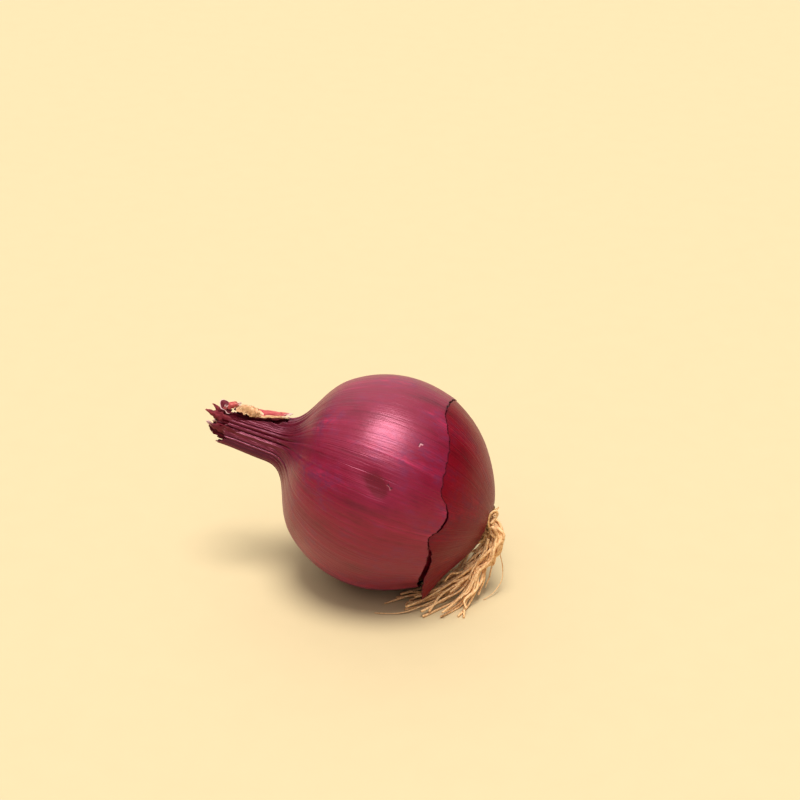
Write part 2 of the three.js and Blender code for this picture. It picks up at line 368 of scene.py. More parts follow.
def flesh_finish():
    """Wet, dark red scale with veins from pole to pole."""
    material, shade, shader = new_finish(
        "moist_scale", roughness=0.3, specular_ior_level=0.5, specular_tint=(0.9, 0.12, 0.2, 1)
    )
    place = growing_place(shade)
    veins = meridians(place, 1.6, 40)
    deep = (0.055, 0.001, 0.006, 1)
    bright = (0.16, 0.004, 0.018, 1)
    feed(shade, shader, base_color=veins.smooth(0.3, 0.75).mix(deep, bright))
    feed(shade, shader, normal=veins.bump(0.15 * MM, 0.5))
    return material


def close_ends(wall=0):
    """Closes the open edges with faces, after a wall of so many mm towards the neck."""
    bpy.ops.object.mode_set(mode="EDIT")
    bpy.ops.mesh.select_all(action="DESELECT")
    bpy.ops.mesh.select_non_manifold(extend=False, use_boundary=True)
    if wall:
        inwards = tuple(along_axis * wall * MM)
        bpy.ops.mesh.extrude_region_move(TRANSFORM_OT_translate={"value": inwards})
    bpy.ops.mesh.edge_face_add()
    bpy.ops.mesh.select_all(action="SELECT")
    bpy.ops.mesh.normals_make_consistent(inside=False)
    bpy.ops.object.mode_set(mode="OBJECT")
    bpy.ops.object.shade_smooth_by_angle(angle=math.radians(60))


FLESH_START = -37.0  # mm along the axis, under the root plate
FLESH_END = 38.0  # at the foot of the neck


def make_flesh():
    """The bulb's outside, from the root plate to the foot of the neck, closed at both ends."""
    flesh, turn, up = new_round_sheet("fleshy_bulb", 144, 90)
    first = length_at(FLESH_START)
    last = length_at(FLESH_END)
    lay_sheet(flesh, over_bulb(first + (last - first) * up, turn, -FLESH_INSET))
    close_ends()
    flesh.data.materials.append(flesh_finish())
    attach(flesh, "root")
    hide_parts("bulb")


make_flesh()


# ---------------------------------------------------------------
# The dry outer skin: the papery shell of the body and the neck, from the split up to the torn
# end of the neck. It has dried on the bulb, and lifts a little along the split.
# ---------------------------------------------------------------

SKIN_THICK = 0.3  # mm, drawn thicker than real skin so that its edge shows

# The split: degrees round the axis from the facing side over the top, the skin's edge in mm
# from the bulb's middle towards the roots, how wide it gapes, and how far its edges lift.
SPLIT = [
    (-180, 17.5, 0.4, 0.1),
    (-150, 22, 0.5, 0.2),
    (-120, 25, 0.6, 0.3),
    (-90, 24.2, 0.9, 0.6),
    (-63, 22.4, 1.6, 1.0),
    (-49, 22.2, 2.2, 1.2),
    (-42, 22.4, 1.9, 1.0),
    (-34, 21.9, 1.3, 0.6),
    (-29, 21.2, 0.7, 0.35),
    (-24, 20.1, 0.35, 0.2),
    (-21, 20.2, 0.45, 0.3),
    (-15, 22.2, 1.0, 0.6),
    (-8, 22.8, 1.1, 0.6),
    (-3, 22.5, 0.7, 0.35),
    (0.6, 21.4, 0.4, 0.15),
    (3, 19.4, 0.3, 0.1),
    (8, 18, 0.25, 0.1),
    (20, 16.9, 0.25, 0.1),
    (30, 16.0, 0.3, 0.12),
    (37, 14.5, 0.45, 0.2),
    (45, 12, 0.5, 0.25),
    (50, 10.4, 0.5, 0.25),
    (60, 9.8, 0.6, 0.3),
    (75, 11, 0.45, 0.35),
    (85, 12.2, 0.4, 0.3),
    (110, 13.2, 0.35, 0.2),
    (150, 15.5, 0.4, 0.15),
    (180, 17.5, 0.4, 0.1),
]
split_degrees, split_places, split_gapes, split_lifts = np.array(SPLIT).T


def degrees_round(turn):
    """An angle in radians as degrees from the facing side, -180 to 180."""
    return np.degrees((turn + math.pi) % (2 * math.pi) - math.pi)


def split_edge(turn):
    """The split's place along the axis, its gape and its lift, at each angle."""
    degrees = degrees_round(turn)

    # The edge is torn finely, in teeth of two sizes, in mm.
    jagged = 0.16 * ripple(turn, 24, 60, 21) + 0.13 * ripple(turn, 90, 190, 22)
    place = -np.interp(degrees, split_degrees, split_places) + jagged
    gape = np.interp(degrees, split_degrees, split_gapes)
    return place, gape, np.interp(degrees, split_degrees, split_lifts)


def give_mark(sheet, name, strength):
    """Stores a strength, 0 to about 1, at each corner of the sheet, for the finish to read."""
    mark = sheet.data.attributes.new(name, "FLOAT", "POINT")
    mark.data.foreach_set("value", strength)


VEINS = 96  # fine lengthwise veins round the skin

# Painted shade along the split's torn edges.
SPLIT_SHADE_COLOUR = (0.09, 0.004, 0.012, 1)
# Painted shade in the dents.
DENT_SHADE_COLOUR = (0.1, 0.0001, 0.003, 1)
# The neck's pale rim: partly its own paleness, partly a painted highlight.
PALE_EDGE_COLOUR = (0.5, 0.2, 0.2, 1)
# Painted shade and painted highlight for the slits' lips.
SLIT_SHADE_COLOUR = (0.02, 0.0005, 0.001, 1)
SLIT_HIGHLIGHT_COLOUR = (0.8, 0.42, 0.44, 1)

# Small slits in the skin, painted on as shade and highlight: degrees round the axis, mm along it,
# length, the slant of the slit, and how strong the painted highlight on its lit lip is.
SLITS = [(25.0, -6.4, 2.2, -52, 0.6), (-1.8, -1.9, 2.6, 24, 0.22)]


def slit_sides(parts, wander, degrees, place, length, slant):
    """Two strengths, for the painted shade and the painted highlight on the lips of a short slit."""
    turn = math.radians(degrees)
    lean = math.radians(slant)
    up = parts[0] * math.cos(turn) - parts[2] * math.sin(turn)
    over = parts[1] - place
    long_way = over * math.cos(lean) + up * math.sin(lean)
    short_way = up * math.cos(lean) - over * math.sin(lean) + wander
    within = 1.0 - (long_way**2.0).smooth(0.02 * length**2, 0.3 * length**2)
    outer_side = parts[0] * math.sin(turn) + parts[2] * math.cos(turn)
    within = within * outer_side.smooth(20.0, 30.0)
    shaded = short_way.smooth(-0.05, 0.1) * (1.0 - short_way.smooth(0.35, 0.65))
    lit = (1.0 - short_way.smooth(-0.05, 0.1)) * short_way.smooth(-0.5, -0.2)
    return shaded * within, lit * within


def skin_finish(name, gloss, dark, middle, bright, bloom):
    """Papery skin: streaks from pole to pole, fine veins, purple mottling and a satin gloss.

    It goes from dark over middle to bright, with a bloom of another colour in patches.
    """
    material, shade, shader = new_finish(
        name,
        specular_ior_level=gloss,
        specular_tint=(1.0, 0.36, 0.5, 1),
        ior=1.6,
        sheen_weight=0.05,
        sheen_roughness=0.45,
        sheen_tint=(1.0, 0.25, 0.5, 1),
    )
    place = growing_place(shade)
    parts = [place.node("ShaderNodeSeparateXYZ", {0: place}, output=axis) for axis in "XYZ"]
    broad = meridians(place, 7.0, 70, 2.0)
    streaks = meridians(place, 1.5, 34, 3.0)
    fine = meridians(place, 0.4, 12, 2.0)
    patches = place.vector("MULTIPLY", (0.07, 0.05, 0.07)).noise(3.0, 0.6)
    flecks = place.vector("MULTIPLY", (0.5, 0.2, 0.5)).noise(4.0, 0.7)

    # Fine veins wander a little on their way from pole to pole.
    angle = shade.math("ARCTAN2", parts[0], parts[2])
    wave = (angle * VEINS + streaks * 5.0 + patches * 6.0).math_of("SINE")
    veins = wave.smooth(0.6, 1.0) * streaks.smooth(0.42, 0.65)
    tone = broad * 0.36 + streaks * 0.3 + fine * 0.16 + patches * 0.5 - 0.16
    body = tone.smooth(0.3, 0.5).mix(dark, middle)
    body = tone.smooth(0.5, 0.76).mix(body, bright)
    mottled = (patches.smooth(0.42, 0.64) * flecks.smooth(0.38, 0.64)) * 0.85
    body = mottled.mix(body, bloom)
    body = (veins * 0.3).mix(body, (dark[0] * 0.8, dark[1], dark[2] * 1.2, 1))

    # The neck has dried in darker and brighter stripes.
    on_neck = parts[1].smooth(24.0, 37.0) * 0.85
    neck_dark = (dark[0] * 0.35, dark[1] * 0.2, dark[2] * 0.3, 1)
    neck_tone = (streaks * 0.6 + fine * 0.5).smooth(0.42, 0.75)
    neck_bright = (middle[0] * 0.8, middle[1] * 0.5, middle[2] * 0.7, 1)
    body = on_neck.mix(body, neck_tone.mix(neck_dark, neck_bright))

    # The marks that the mesh carries: painted shade along the split's torn edges, painted shade in the
    # dents, and the neck's pale rim, partly its own paleness and partly a painted highlight.
    torn = shade.node("ShaderNodeAttribute", output="Fac", attribute_name="split_shade")
    # Painted shade along the split's torn edges, where the gap between the skins lies in shade.
    body = (torn.smooth(0.55, 0.95) * 0.7).mix(body, SPLIT_SHADE_COLOUR)
    dent_shade = shade.node("ShaderNodeAttribute", output="Fac", attribute_name="dent_shade")
    # Painted shade in the dents, deeper where they are deeper, broken up by the flecks and patches.
    dent_shaded = (dent_shade + flecks * 0.5 + patches * 0.5 - 0.5).smooth(0.25, 0.65)
    body = dent_shaded.mix(body, DENT_SHADE_COLOUR)
    # The neck's pale rim: partly the dry edge's own paleness, partly a painted highlight.
    pale = shade.node("ShaderNodeAttribute", output="Fac", attribute_name="pale_edge")
    body = (pale.smooth(0.6, 0.98) * flecks.smooth(0.5, 0.66) * 0.6).mix(body, PALE_EDGE_COLOUR)

    # The slits bend a little, each painted with shade on one lip and a highlight on the other.
    wander = (place.vector("MULTIPLY", (0.6, 0.6, 0.6)).noise(2.0) - 0.5) * 2.6
    for *slit, highlight_strength in SLITS:
        shaded, lit = slit_sides(parts, wander, *slit)
        body = (shaded * 0.95).mix(body, SLIT_SHADE_COLOUR)
        body = (lit * highlight_strength).mix(body, SLIT_HIGHLIGHT_COLOUR)

    rough = 0.16 + streaks * 0.14 + patches * 0.26 - dent_shaded * 0.06
    height = streaks * 0.9 + fine * 0.35 + flecks * 0.4 - veins * 0.3
    feed(shade, shader, base_color=body, roughness=rough, normal=height.bump(0.25 * MM, 0.7))
    return material


outer_finish = skin_finish(
    "dry_skin",
    0.85,
    (0.08, 0.0006, 0.006, 1),
    (0.18, 0.001, 0.018, 1),
    (0.46, 0.016, 0.075, 1),
    (0.12, 0.01, 0.045, 1),
)

SKIN_COLUMNS = 432

# Where the neck's sleeve is torn back along its upper side: degrees round the axis, and mm.
TEAR = [(10, 0), (22, 5), (33, 11), (42, 16), (60, 19), (82, 20), (104, 14), (122, 5), (138, 0)]
tear_degrees, tear_depths = np.array(TEAR).T


def torn_back(turn):
    """How far the neck's sleeve is torn back at each angle, in mm."""
    return np.interp(degrees_round(turn), tear_degrees, tear_depths)


SMOOTH_ANGLE = math.radians(50)  # sharper edges than this stay sharp on thin papery pieces
SPLIT_SHADE_WIDTH = 0.9  # mm, how wide the painted shade along the split's edges is
RIM_WIDTH = 0.5  # and the neck's rim


def finish_papery(sheet, thick, offset, finish):
    """Gives a papery sheet its thickness in mm, to one side or about its middle, and its finish."""
    apply_modifier(sheet, "SOLIDIFY", thickness=thick * MM, offset=offset)
    bpy.ops.object.shade_smooth_by_angle(angle=SMOOTH_ANGLE)
    sheet.data.materials.append(finish)


def make_outer_skin():
    """The skin from the split to the torn end of the neck, lifted where it is torn."""
    skin, turn, up = new_round_sheet("dry_outer_skin", SKIN_COLUMNS, 96)
    edge, _, lift = split_edge(turn)

    # The neck's end is torn unevenly, in broad tongues and in small ones.
    torn_end = NECK_END - 1.6 + 1.2 * ripple(turn, 2, 7, 23) + 0.35 * ripple(turn, 14, 40, 24)
    tear = torn_back(turn)
    first = length_at(edge)
    last = length_at(torn_end - tear)
    length = first + (last - first) * up**1.15
    beyond = length - first

    # The skin lifts along the split, and along the edge where the sleeve is torn back.
    raised = lift * np.exp(-((beyond / 3.2) ** 1.3))
    raised += 0.05 * np.minimum(tear, 9) * np.exp(-(last - length) / 2.5)

    places = over_bulb(length, turn, raised)
    # Nearness to the split, for the finish to paint shade along it.
    give_mark(skin, "split_shade", np.exp(-beyond / SPLIT_SHADE_WIDTH))
    # How deep the dents are, for the finish to paint shade into them.
    give_mark(skin, "dent_shade", dented(turn, np.interp(length, outline_length, outline_along)))
    # Nearness to the neck's torn end, for its pale rim, partly a painted highlight.
    give_mark(skin, "pale_edge", np.exp(-(last - length) / RIM_WIDTH))
    lay_sheet(skin, places)
    finish_papery(skin, SKIN_THICK, -1, outer_finish)
    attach(skin, "root")
    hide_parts("outer_skin")


make_outer_skin()


# ---------------------------------------------------------------
# The dry skin of the root end: the darker piece beyond the split, down to the root plate. Below,
# a torn flap of it hangs off the bulb to the surface that the onion lies on.
# ---------------------------------------------------------------

# Darker than the outer skin: partly the root end's own colour, partly painted shade.
root_end_finish = skin_finish(
    "root_end_dry_skin",
    0.2,
    (0.075, 0.0004, 0.003, 1),
    (0.15, 0.0008, 0.006, 1),
    (0.25, 0.004, 0.02, 1),
    (0.11, 0.004, 0.016, 1),
)

FLAP_DEGREES = -82  # round the axis, on the lower front
FLAP_SPREAD = 19
FLAP_LONGER = 1.5  # mm that the flap reaches into the split
FLAP_HANGS = 5.0  # mm that it hangs off the bulb
ROOT_RIM = -38.0  # mm along the axis, where the skin meets the root plate
ROOT_END_LOWER = 0.12  # mm that this skin lies lower than the outer skin


def make_root_end_skin():
    """The skin from the split to the root plate, with its torn flap."""
    skin, turn, up = new_round_sheet("dry_root_end_skin", SKIN_COLUMNS, 52)
    edge, gape, lift = split_edge(turn)
    rim = length_at(ROOT_RIM) + 0.4 * ripple(turn, 6, 20, 31)
    flap = np.exp(-(((degrees_round(turn) - FLAP_DEGREES) / FLAP_SPREAD) ** 2))
    first = length_at(edge - gape) + FLAP_LONGER * flap
    length = first + (rim - first) * up**1.15
    beyond = first - length
    raised = 0.5 * lift * np.exp(-((beyond / 2.5) ** 1.3)) - ROOT_END_LOWER
    raised += FLAP_HANGS * flap * np.exp(-((beyond / 7) ** 1.5))
    places = over_bulb(length, turn, raised)
    # Nearness to the split, for the finish to paint shade along it.
    give_mark(skin, "split_shade", np.exp(-beyond / SPLIT_SHADE_WIDTH))
    lay_sheet(skin, places)
    bpy.ops.object.mode_set(mode="EDIT")
    bpy.ops.mesh.flip_normals()
    bpy.ops.object.mode_set(mode="OBJECT")
    finish_papery(skin, SKIN_THICK, -1, root_end_finish)
    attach(skin, "root")
    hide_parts("root_end_skin")


make_root_end_skin()


# ---------------------------------------------------------------
# The inner leaf bases at the neck: three more papery layers inside the outer skin, dried on the
# neck and torn off unevenly at its end. They show where the outer skin is torn back.
# ---------------------------------------------------------------

LAYER_THICK = 0.22  # mm


def make_neck_layer(name, start, inset, reach, tear, seed):
    """A layer from start to reach along the axis, up to inset mm further in at its end.

    Where the outer skin is torn back, the layer is torn back too, by the share tear of that.
    """
    layer, turn, up = new_round_sheet(name, 288, 40)
    tatters = 1.5 * ripple(turn, 1, 4, seed) + 0.8 * ripple(turn, 5, 11, seed + 1)
    tatters += 0.22 * ripple(turn, 20, 60, seed + 3)
    first = length_at(start)
    last = length_at(reach + np.clip(tatters, -3.4, 2.6) - tear * torn_back(turn - 0.2))
    length = first + (last - first) * up
    drawn_in = 0.5 + (inset - 0.5) * smooth_step(0, 0.45, up)
    drawn_in += inset * smooth_step(0.5, 1, up) * (0.45 + 0.35 * ripple(turn, 2, 6, seed + 2))
    # Nearness to the torn end, for its pale rim, partly a painted highlight.
    give_mark(layer, "pale_edge", np.exp(-(last - length) / RIM_WIDTH))
    lay_sheet(layer, over_bulb(length, turn, -drawn_in))
    finish_papery(layer, LAYER_THICK, -1, root_end_finish)
    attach(layer, "root")


make_neck_layer("second_neck_layer", 34.0, 1.3, 60.2, 0.3, 41)
make_neck_layer("third_neck_layer", 40.0, 2.4, 61.4, 0.12, 51)
make_neck_layer("inmost_neck_layer", 44.0, 3.6, 60.6, 0.0, 61)


# ---------------------------------------------------------------
# The dry leaf ends at the neck: what is left of the cut and withered leaves. Thin papery strips,
# flakes and points, curled and frayed, which still hold to the neck at one end, and the tips of
# the inner leaves, which are pressed together inside it.
# ---------------------------------------------------------------


def leaf_finish(name, dark, middle, bright, tip, pale_side=0.0):
    """Papery leaf, which follows its own UV map: fibres along it, and a bleached frayed tip."""
    material, shade, shader = new_finish(name, specular_ior_level=0.35)
    across_along = shade.node("ShaderNodeTexCoord", output="UV")
    fibres = across_along.vector("MULTIPLY", (16.0, 1.6, 0.0)).noise(3.0, 0.6)
    stains = across_along.vector("MULTIPLY", (3.0, 4.0, 0.0)).noise(3.0, 0.6)
    across = shade.node("ShaderNodeSeparateXYZ", {0: across_along}, output="X")
    along = shade.node("ShaderNodeSeparateXYZ", {0: across_along}, output="Y")
    body = fibres.smooth(0.3, 0.55).mix(dark, middle)
    body = stains.smooth(0.45, 0.7).mix(body, bright)
    bleached = (along + fibres * 0.3).smooth(0.95, 1.2)
    body = bleached.mix(body, tip)
    body = ((across + fibres * 0.06).smooth(0.9, 0.98) * pale_side).mix(body, tip)
    feed(shade, shader, base_color=body, roughness=0.6 + fibres * 0.25)
    feed(shade, shader, normal=fibres.bump(0.3 * MM, 0.8))
    return material


tan_leaf = leaf_finish(
    "tan_dry_leaf",
    (0.3, 0.09, 0.05, 1),
    (0.68, 0.38, 0.18, 1),
    (0.88, 0.64, 0.38, 1),
    (0.9, 0.72, 0.48, 1),
)
coral_leaf = leaf_finish(
    "coral_dry_leaf",
    (0.25, 0.02, 0.03, 1),
    (0.52, 0.08, 0.08, 1),
    (0.66, 0.2, 0.15, 1),
    (0.85, 0.66, 0.56, 1),
)
dark_leaf = leaf_finish(
    "dark_dry_leaf",
    (0.07, 0.002, 0.006, 1),
    (0.18, 0.008, 0.018, 1),
    (0.3, 0.03, 0.04, 1),
    (0.35, 0.06, 0.06, 1),
)
pale_edged_leaf = leaf_finish(
    "pale_edged_dry_leaf",
    (0.06, 0.001, 0.006, 1),
    (0.13, 0.004, 0.014, 1),
    (0.2, 0.014, 0.03, 1),
    (0.75, 0.48, 0.46, 1),
    pale_side=1.0,
)


def smooth_path(points, count):
    """Places at even shares along a smooth curve through the points."""
    points = np.array(points, float)
    ends = [2 * points[0] - points[1]], [2 * points[-1] - points[-2]]
    held = np.concatenate([ends[0], points, ends[1]])
    at = np.linspace(0, len(points) - 1, count)
    number = np.minimum(at.astype(int), len(points) - 2)
    share = (at - number)[:, None]
    before, start, end, after = (held[number + offset] for offset in range(4))
    slope = (end - before) * share + (2 * before - 5 * start + 4 * end - after) * share**2
    bend = (3 * start - before - 3 * end + after) * share**3
    return start + 0.5 * (slope + bend)


def places_on(line, share):
    """The places on a line of even steps, at shares of it from 0 to 1."""
    at = np.clip(share, 0, 1) * (len(line) - 1)
    return np.stack([np.interp(at, np.arange(len(line)), part) for part in line.T], axis=1)


LEAF_THICK = 0.2  # mm
PATH_POINTS = 200


def make_leaf(name, node, finish, path, widths, curl, crumple, fray, seed):
    """A leaf end along a path in the growing frame, in mm: across, along, facing.

    Its widths are in mm from its foot to its tip. Curl is how far each half bends round, in
    radians at mid length, crumple its folds' height in mm, and fray the unevenness of its tip.
    """
    leaf, across, up = new_sheet(name, 26, 64)
    side_share = across * 2 - 1
    frayed = 0.6 * ripple(across * 3, 2, 6, seed) + 0.4 * ripple(across * 3, 9, 18, seed + 1)
    share = np.clip(up * (1 + fray * frayed), 0, 1.12)
    centre_line = smooth_path(path, PATH_POINTS)
    tangent = np.gradient(centre_line, axis=0)
    tangent /= np.linalg.norm(tangent, axis=1)[:, None]
    outward = np.array([path[0][0], 0, path[0][2]], float)
    outward /= np.linalg.norm(outward)
    middle = places_on(centre_line, share)
    forward = places_on(tangent, share)
    middle += forward * (np.maximum(share - 1, 0) * len(path) * 2.0)[:, None]
    side = np.cross(outward, forward)
    side /= np.linalg.norm(side, axis=1)[:, None]
    face = np.cross(forward, side)
    width = np.interp(share, np.linspace(0, 1, len(widths)), widths)
    width = width * (1 + 0.16 * ripple(up * 4, 2, 9, seed + 2) * np.sign(side_share))
    bend = np.maximum(curl * (0.5 + share), 0.05)
    sideways = np.sin(bend * side_share) / bend * width / 2
    inwards = (np.cos(bend * side_share) - 1) / bend * width / 2
    broad_folds = ripple(across * 2.5 + up * 1.3, 2, 5, seed + 3)
    small_folds = ripple(up * 5 + across, 3, 9, seed + 4)
    folds = broad_folds * 0.6 + small_folds * 0.4
    stand = inwards + crumple * folds * smooth_step(0, 0.25, up)
    places = middle + side * sideways[:, None] + face * stand[:, None]
    lay_sheet(leaf, in_place(places[:, 0], places[:, 1], places[:, 2]))
    finish_papery(leaf, LEAF_THICK, 0, finish)
    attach(leaf, "root")
    if node:
        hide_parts(node)


make_leaf(
    "upper_dry_leaf_point", "upper_leaf_point", dark_leaf,
    [(1.0, 57.0, 1.6), (1.6, 60.6, 1.4), (2.3, 62.8, 1.7), (3.0, 65.4, 2.0)],
    [4.6, 4.4, 3.0, 0.5], 1.1, 0.25, 0.04, 101,
)
make_leaf(
    "middle_dry_leaf_point", "middle_leaf_point", dark_leaf,
    [(-1.4, 57.0, 3.4), (-0.8, 60.6, 3.6), (-0.2, 63.5, 4.0), (0.2, 66.8, 4.2)],
    [4.4, 4.0, 3.2, 0.5], 0.9, 0.2, 0.03, 111,
)
make_leaf(
    "pale_edged_leaf_end", "pale_edged_leaf", pale_edged_leaf,
    [(-4.6, 52.0, 2.6), (-4.9, 57.4, 3.2), (-4.9, 61.2, 3.4), (-3.4, 65.2, 2.6)],
    [5.6, 6.6, 5.2, 0.8], 0.9, 0.25, 0.03, 121,
)
make_leaf(
    "curled_leaf_end", "curled_leaf_tip", pale_edged_leaf,
    [(2.6, 58.6, 3.4), (3.6, 61.0, 3.8), (4.9, 62.2, 4.0), (5.0, 60.9, 4.8), (3.9, 60.6, 4.9)],
    [2.4, 2.6, 2.8, 2.2, 1.6], 0.7, 0.15, 0.06, 131,
)
make_leaf(
    "rolled_leaf_end", "rolled_leaf", coral_leaf,
    [(3.4, 61.8, 4.0), (4.6, 60.6, 4.4), (5.8, 58.8, 4.6), (6.6, 56.4, 4.4)],
    [2.6, 3.6, 3.6, 2.6], 1.7, 0.35, 0.08, 141,
)
make_leaf(
    "tan_papery_flake", "tan_leaf_flake", tan_leaf,
    [(4.2, 57.2, 4.2), (5.8, 55.2, 4.6), (6.6, 52.4, 4.9), (6.5, 49.8, 4.6), (5.8, 47.4, 4.2)],
    [2.2, 5.0, 5.8, 5.0, 2.6], 1.3, 0.8, 0.1, 151,
)
make_leaf(
    "coral_torn_strip", "coral_leaf_strip", coral_leaf,
    [(5.0, 54.0, 2.6), (6.6, 50.5, 3.0), (7.8, 46.0, 3.0), (8.9, 42.0, 3.2), (9.8, 38.8, 3.6)],
    [2.4, 3.6, 3.6, 3.0, 2.0], 0.8, 0.35, 0.08, 161,
)
make_leaf(
    "pale_torn_strip", "pale_leaf_strip", tan_leaf,
    [(4.4, 50.6, 3.6), (5.2, 48.4, 4.4), (6.2, 45.6, 4.6), (7.2, 42.6, 4.8), (8.0, 39.8, 5.4)],
    [1.2, 1.7, 1.4, 1.1, 0.5], 0.9, 0.3, 0.12, 171,
)
make_leaf(
    "torn_inner_leaf", None, dark_leaf,
    [(4.6, 58.0, 0.8), (5.6, 52.5, 1.2), (6.6, 47.0, 1.6), (8.0, 41.0, 2.0)],
    [5.0, 6.8, 6.4, 4.0], 1.1, 0.4, 0.05, 177,
)

# The inner leaves' tips stand round the neck's middle, each a golden angle on from the last.
GOLDEN_ANGLE = 2.4  # radians
INNER_TIPS = 12
TIP_STEP = 1.2  # mm, how closely they stand
NECK_MIDDLE = -1.6  # mm across, because the neck leans over

tips = np.random.default_rng(181)
for number in range(1, INNER_TIPS + 1):
    out = TIP_STEP * math.sqrt(number)
    across = out * math.sin(number * GOLDEN_ANGLE) + NECK_MIDDLE
    facing = out * math.cos(number * GOLDEN_ANGLE) * (1 - NECK_FLATTENING)
    spread = tips.uniform(1.0, 1.35)
    reach = tips.uniform(60.5, 64.0)
    finish = tips.choice([dark_leaf, coral_leaf], p=[0.8, 0.2])
    make_leaf(
        f"inner_leaf_tip_{number:02d}", None, finish,
        [(across, 52.0, facing), (across, 57.0, facing), (across * spread, reach, facing * spread)],
        [4.0, 4.4, tips.uniform(0.6, 2.0)], 1.5, 0.3, 0.05, 190 + 5 * number,
    )


# ---------------------------------------------------------------
# The root plate: the low disc of hard brown cork at the bulb's root end, which the roots grow
# from. It has lumps and faint rings, and grew as one with the bulb.
# ---------------------------------------------------------------

PLATE_FACE = 39.0  # mm from the bulb's middle to the plate's outer face
PLATE_RADIUS = 6.5
PLATE_DEPTH = 1.2
PLATE_ROUNDING = 0.8  # mm that its rim lies lower than its middle


def cork_finish():
    """Dull brown cork with pale and dark grains."""
    material, shade, shader = new_finish("cork", roughness=0.9, specular_ior_level=0.2)
    place = growing_place(shade)
    grain = place.vector("MULTIPLY", (0.9, 0.9, 0.9)).noise(4.0, 0.65)
    body = grain.smooth(0.32, 0.55).mix((0.07, 0.03, 0.018, 1), (0.3, 0.15, 0.07, 1))
    body = grain.smooth(0.55, 0.75).mix(body, (0.5, 0.33, 0.19, 1))
    feed(shade, shader, base_color=body, normal=grain.bump(0.6 * MM, 1.0))
    return material


def make_root_plate():
    """A rounded, lumpy disc, with a wall down into the bulb and a closed back."""
    plate, turn, inward = new_round_sheet("corky_root_plate", 96, 24)
    out = PLATE_RADIUS * np.sin(inward * math.pi / 2) ** 0.8
    swell = PLATE_FACE - PLATE_ROUNDING * (out / PLATE_RADIUS) ** 4
    lumps = 0.35 * ripple(turn, 5, 18, 201) * np.sin(inward * math.pi)
    rings = 0.25 * np.cos(out * 3.1) * (out > 1)
    places = in_place(out * np.sin(turn), -(swell + (lumps + rings)), out * np.cos(turn))
    lay_sheet(plate, places)
    close_ends(PLATE_DEPTH)
    plate.data.materials.append(cork_finish())
    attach(plate, "root")
    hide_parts("root_plate")


make_root_plate()


# ---------------------------------------------------------------
# The roots: a tuft of dried, kinked, wiry roots that leaves the plate, hangs to the surface and
# sweeps forward over it. Each main root carries one or two thinner side roots, and the short
# stubs of roots that have broken off stand all over the plate.
# ---------------------------------------------------------------

# The tuft hangs as a bundle of lanes beside one another, each some layers thick, in mm.
LANES = 7
LAYERS = 3
LANE_STEP = 1.1
LAYER_STEP = 1.15
BUNDLE_TURN = math.radians(-50)
BUNDLE_STEPS = 40
BUNDLE_SHARES = (0, 0.15, 0.35, 0.55, 0.75, 1)  # where a root follows the bundle exactly
ROOT_RADIUS = 0.42

# Then the lanes fan out over the surface: their headings in degrees and their lengths, and how
# the roots come down, as shares of the length and heights over where they lie. The layers lie a
# little closer there than they hang.
LANE_HEADINGS = [204, 207, 211, 217, 226, 238, 252]
LANE_LENGTHS = [29, 25, 27, 29, 26, 21, 17]
LANDING = [(0.16, 6.4), (0.36, 3.2), (0.62, 0.5), (1, 0)]

# The middle of the bundle, in the part's frame, from the plate to where it fans out.
HANGING = [
    (37.5, -2.5, 24.2),
    (39.1, -3, 23.5),
    (39.5, -4.5, 20.7),
    (38.2, -5.8, 16.6),
    (34.6, -7.5, 12.8),
]


def root_route(lane, layer):
    """The points of a root's path, in mm in the part's frame."""
    across = (lane - (LANES - 1) / 2) * LANE_STEP
    through = (layer - (LAYERS - 1) / 2) * LAYER_STEP
    outwards = across * math.cos(BUNDLE_TURN) - through * math.sin(BUNDLE_TURN)
    sideways = across * math.sin(BUNDLE_TURN) + through * math.cos(BUNDLE_TURN)
    middle = smooth_path(HANGING, BUNDLE_STEPS + 1)
    tangent = np.gradient(middle, axis=0)
    points = []
    for share in BUNDLE_SHARES:
        number = round(share * BUNDLE_STEPS)
        outwards_axis = np.cross(tangent[number], (0, 1, 0))
        outwards_axis /= np.linalg.norm(outwards_axis)
        points.append(middle[number] + outwards_axis * outwards + np.array((0, sideways, 0)))
    start = points[-1]
    heading = math.radians(LANE_HEADINGS[lane])
    layers_below = LAYERS - 1 - layer
    longer = 1.5 * math.sin(lane * 2.7 + layer * 4.1) - 1.6 * layers_below
    surface = ROOT_RADIUS + 0.06 + layers_below * LAYER_STEP * 0.9
    for share, height in LANDING:
        distance = share * LANE_LENGTHS[lane] + (longer if share == 1 else 0)
        forward = np.array((math.cos(heading), math.sin(heading), 0)) * distance
        points.append(np.array((start[0], start[1], 0)) + forward + np.array((0, 0, surface + height)))
    return points


def root_finish():
    """Dry, fibrous tan root, with dirt in patches."""
    material, shade, shader = new_finish("dry_root", specular_ior_level=0.3)
    place = growing_place(shade)
    grain = place.vector("MULTIPLY", (1.3, 1.3, 1.3)).noise(3.0, 0.6)
    dirt = place.vector("MULTIPLY", (0.16, 0.16, 0.16)).noise(3.0, 0.6)
    body = grain.smooth(0.3, 0.5).mix((0.55, 0.26, 0.09, 1), (0.88, 0.54, 0.25, 1))
    body = grain.smooth(0.5, 0.72).mix(body, (0.97, 0.71, 0.4, 1))
    body = (dirt.smooth(0.5, 0.7) * 0.4).mix(body, (0.5, 0.22, 0.09, 1))
    feed(shade, shader, base_color=body, roughness=0.6 + grain * 0.25)
    feed(shade, shader, normal=grain.bump(0.3 * MM, 0.8))
    return material


dry_root = root_finish()

CLEAR_OF_BULB = 0.7
CLEAR_OF_SURFACE = 0.45


